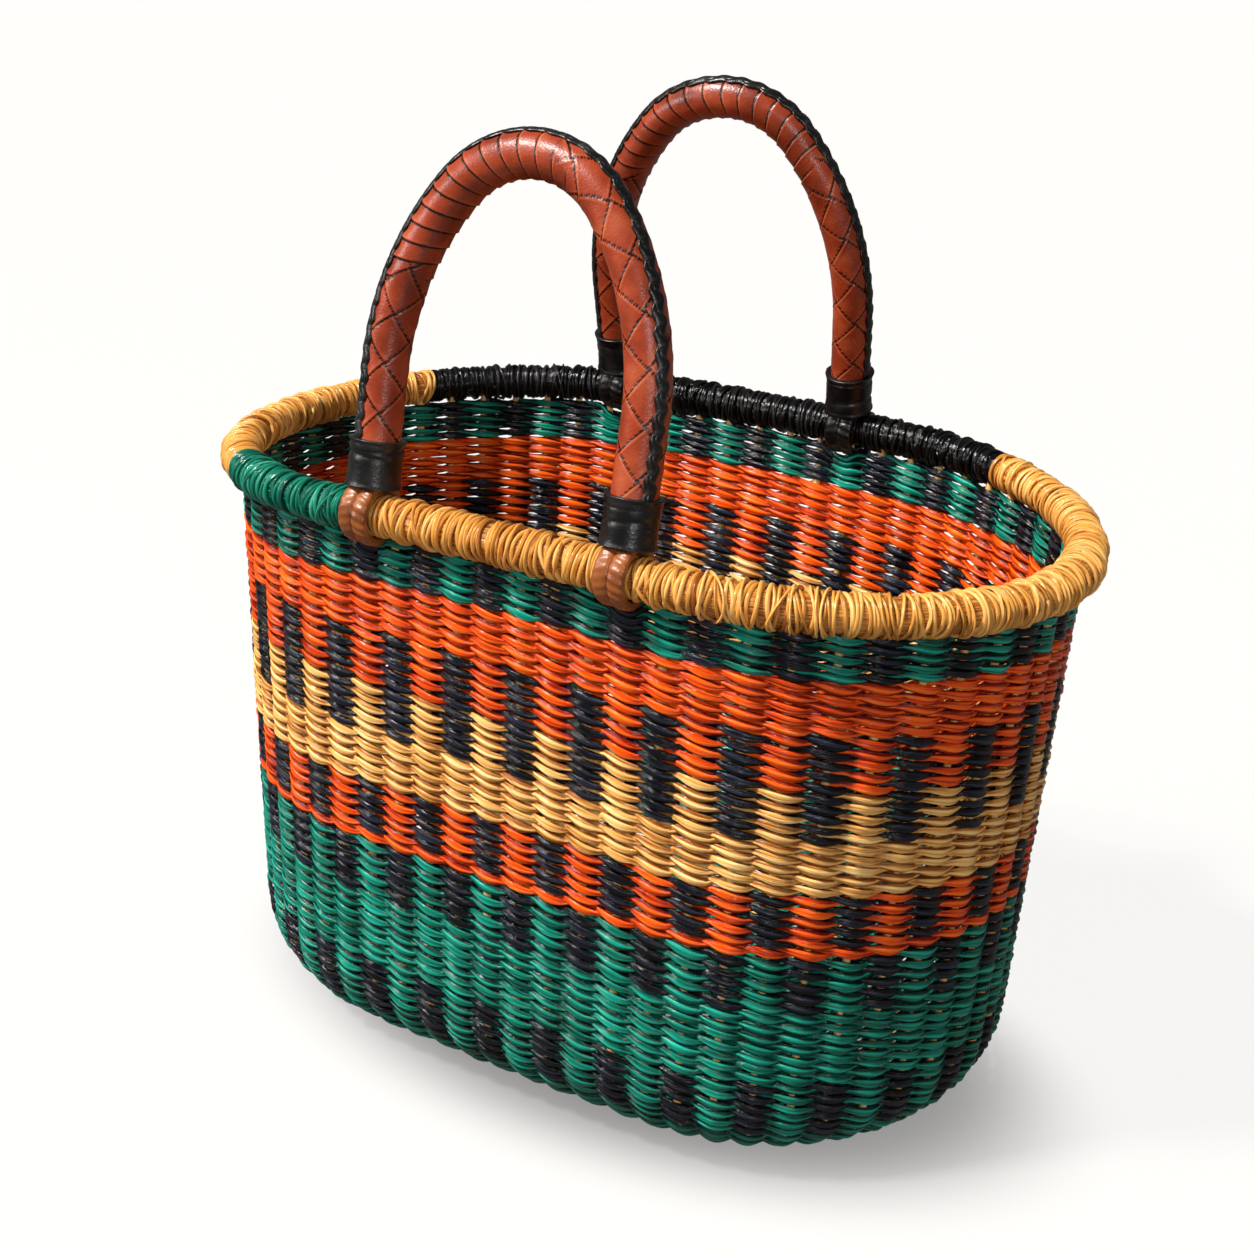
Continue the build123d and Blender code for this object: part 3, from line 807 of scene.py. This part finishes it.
def make_collar(arch, place, flip):
    """A wrinkled black collar with a folded notch, round the foot of a leg."""
    t = np.linspace(0, 1, COLLAR_RINGS)[:, None]
    angle = np.linspace(0, 2 * pi, COLLAR_SIDES, endpoint=False)
    radius = collar_surface(arch, flip, t, np.broadcast_to(angle, (COLLAR_RINGS, COLLAR_SIDES)))
    inner = COVER_RADIUS + 0.3 * MM
    outside = COLLAR_START + (COLLAR_END - COLLAR_START) * t[:, 0]
    inside = outside[::-6]
    rim_shares = np.linspace(1, 0, 5)[1:]
    ring = np.ones((1, COLLAR_SIDES))
    radii = [radius]
    radii += [ring * (inner + (radius[-1].mean() - inner) * share) for share in rim_shares]
    radii += [ring * inner] * len(inside)
    radii += [ring * (inner + radius[0].mean()) / 2]
    radii = np.concatenate(radii)
    top = np.full(len(rim_shares), outside[-1] + 0.2 * MM)
    runs = np.concatenate([outside, top, inside, [outside[0] - 0.1 * MM]])
    if place == "right":
        runs = arch.length - runs
    points = arch.around(runs, np.broadcast_to(angle, radii.shape), radii)
    handle_piece(arch, f"collar_{place}_leather", [(points, True, 0, 0.0)], black_leather, f"collar_{place}")


def rounded(wave):
    """A squarer sine or cosine."""
    return np.sign(wave) * np.abs(wave) ** 0.8


def make_loop(arch, place):
    """Two turns of leather cord round the rim, side by side."""
    foot = arch.half_span if place == "right" else -arch.half_span
    theta = np.linspace(0, 2 * pi, LOOP_RINGS, endpoint=False)
    around = np.linspace(0, 2 * pi, LOOP_SIDES, endpoint=False)
    across = rounded(np.cos(around)) * CORD_HALF_WIDTH
    depth = rounded(np.sin(around)) * CORD_HALF_DEPTH
    tubes = []
    for side, crease_depth in ((-1.0, 0.12 * MM), (1.0, 0.30 * MM)):
        crease = np.sin(theta[:, None] * 22 + side * 1.9 * around[None]) * crease_depth
        level = LOOP_RADIUS + depth[None] + crease * (np.sin(around)[None] > -0.2) + 0.15 * MM * side
        x = foot + side * CORD_ASIDE + across[None] + 0.3 * MM * np.sin(3 * theta)[:, None]
        points = (
            arch.origin
            + x[..., None] * arch.x
            + (level * np.cos(theta)[:, None])[..., None] * arch.up
            + (level * np.sin(theta)[:, None])[..., None] * arch.normal
        )
        shade = 0.05 * np.sin(theta * 7) - 0.02
        tubes.append((points, True, 0, shade))
    material = brown_leather if arch.side == "front" else black_leather
    handle_piece(arch, f"loop_{place}_cord", tubes, material, f"loop_{place}")


def make_handles():
    """Both handles, piece by piece."""
    for side in ("front", "rear"):
        arch = Arch(side)
        make_core(arch)
        make_cover(arch)
        make_lace(arch)
        for flip, place in enumerate(("left", "right")):
            make_collar(arch, place, flip)
            make_loop(arch, place)


# ---------------------------------------------------------------- camera and light


def make_camera():
    """A camera above the right front corner, tilted a little."""
    azimuth, elevation, roll = radians(28.8), radians(21.6), radians(3.07)
    distance, aside, below = 0.950, -0.0113, -0.0794
    back = Vector((sin(azimuth) * cos(elevation), -cos(azimuth) * cos(elevation), sin(elevation)))
    level = Vector((cos(azimuth), sin(azimuth), 0.0))
    up = back.cross(level)
    right = level * cos(roll) + up * sin(roll)
    upward = up * cos(roll) - level * sin(roll)
    place = Vector((0, 0, RIM_HEIGHT)) + back * distance + right * aside + upward * below
    camera_data = bpy.data.cameras.new("camera")
    camera_data.sensor_width = 36.0
    camera_data.lens = 54.33
    camera_data.clip_end = 200.0
    camera = bpy.data.objects.new("camera", camera_data)
    camera.matrix_world = Matrix(
        (
            (right.x, upward.x, back.x, place.x),
            (right.y, upward.y, back.y, place.y),
            (right.z, upward.z, back.z, place.z),
            (0, 0, 0, 1),
        )
    )
    bpy.context.scene.collection.objects.link(camera)
    bpy.context.scene.camera = camera


def area_light(name, place, target, size, power):
    """A square white panel that faces a point."""
    light = bpy.data.lights.new(name, "AREA")
    light.size = size
    light.energy = power
    lamp = bpy.data.objects.new(name, light)
    lamp.location = place
    direction = Vector(target) - Vector(place)
    lamp.rotation_euler = direction.to_track_quat("-Z", "Y").to_euler()
    bpy.context.scene.collection.objects.link(lamp)


def make_floor():
    """A pale floor with a soft painted shadow under and beside the basket."""
    bpy.ops.mesh.primitive_plane_add(size=80.0, location=(0, 0, 0))
    floor = bpy.context.object
    floor.name = "studio_floor"
    material, tree, shader = new_material("studio_floor")
    shader.inputs["Base Color"].default_value = (0.06, 0.0594, 0.058, 1)
    shader.inputs["Roughness"].default_value = 0.9
    shader.inputs["Specular IOR Level"].default_value = 0.0
    seen = tree.nodes.new("ShaderNodeLightPath")
    coords = tree.nodes.new("ShaderNodeTexCoord")
    # Painted shadow: the floor's glow for the camera is dimmed softly round the basket's footprint.
    footprint = node(
        tree, "ShaderNodeMapping", Vector=coords.outputs["Object"], Location=(-0.10, 0.02, 0.0),
        Scale=(1 / 0.205, 1 / 0.125, 1.0),
    )
    away = tree.nodes.new("ShaderNodeVectorMath")
    away.operation = "LENGTH"
    tree.links.new(footprint.outputs[0], away.inputs[0])
    clear = node(tree, "ShaderNodeMapRange", Value=away.outputs["Value"])
    clear.interpolation_type = "SMOOTHERSTEP"
    for socket, value in (("From Min", 0.72), ("From Max", 1.34), ("To Min", 0.20), ("To Max", 0.81)):
        clear.inputs[socket].default_value = value
    glow = math_node(tree, "MULTIPLY", seen.outputs["Is Camera Ray"], clear.outputs[0])
    glow = math_node(tree, "ADD", glow, 0.10)
    shader.inputs["Emission Color"].default_value = (1.0, 0.985, 0.965, 1)
    tree.links.new(glow, shader.inputs["Emission Strength"])
    floor.data.materials.append(material)


def make_lights():
    """A key light from the upper left and a small panel on each side."""
    sun = bpy.data.lights.new("key", "SUN")
    sun.energy = 5.9
    sun.angle = radians(7)
    sun.color = (1.0, 0.97, 0.93)
    lamp = bpy.data.objects.new("key", sun)
    lamp.rotation_euler = Vector((0.52, 0.58, -1.05)).to_track_quat("-Z", "Y").to_euler()
    bpy.context.scene.collection.objects.link(lamp)
    area_light("left_panel", (-1.3, -1.1, 0.9), (0, 0, 0.25), 0.30, 10)
    area_light("right_panel", (1.4, -1.6, 0.9), (0, 0, 0.25), 0.35, 13)


def make_world():
    """A pale backdrop for the camera and a faint light from all round."""
    world = bpy.data.worlds.new("studio")
    world.use_nodes = True
    tree = world.node_tree
    seen = tree.nodes.new("ShaderNodeLightPath")
    backdrop = tree.nodes["Background"]
    backdrop.inputs[0].default_value = (0.985, 0.970, 0.945, 1)
    ambient = tree.nodes.new("ShaderNodeBackground")
    ambient.inputs[0].default_value = (1.0, 0.99, 0.98, 1)
    ambient.inputs[1].default_value = 0.13
    mix = tree.nodes.new("ShaderNodeMixShader")
    tree.links.new(seen.outputs["Is Camera Ray"], mix.inputs[0])
    tree.links.new(ambient.outputs[0], mix.inputs[1])
    tree.links.new(backdrop.outputs[0], mix.inputs[2])
    tree.links.new(mix.outputs[0], tree.nodes["World Output"].inputs["Surface"])
    bpy.context.scene.world = world
    bpy.context.scene.view_settings.view_transform = "Standard"


make_camera()
make_floor()
make_lights()
make_world()
make_bands()
make_stakes()
make_rim()
make_handles()

bpy.context.view_layer.update()
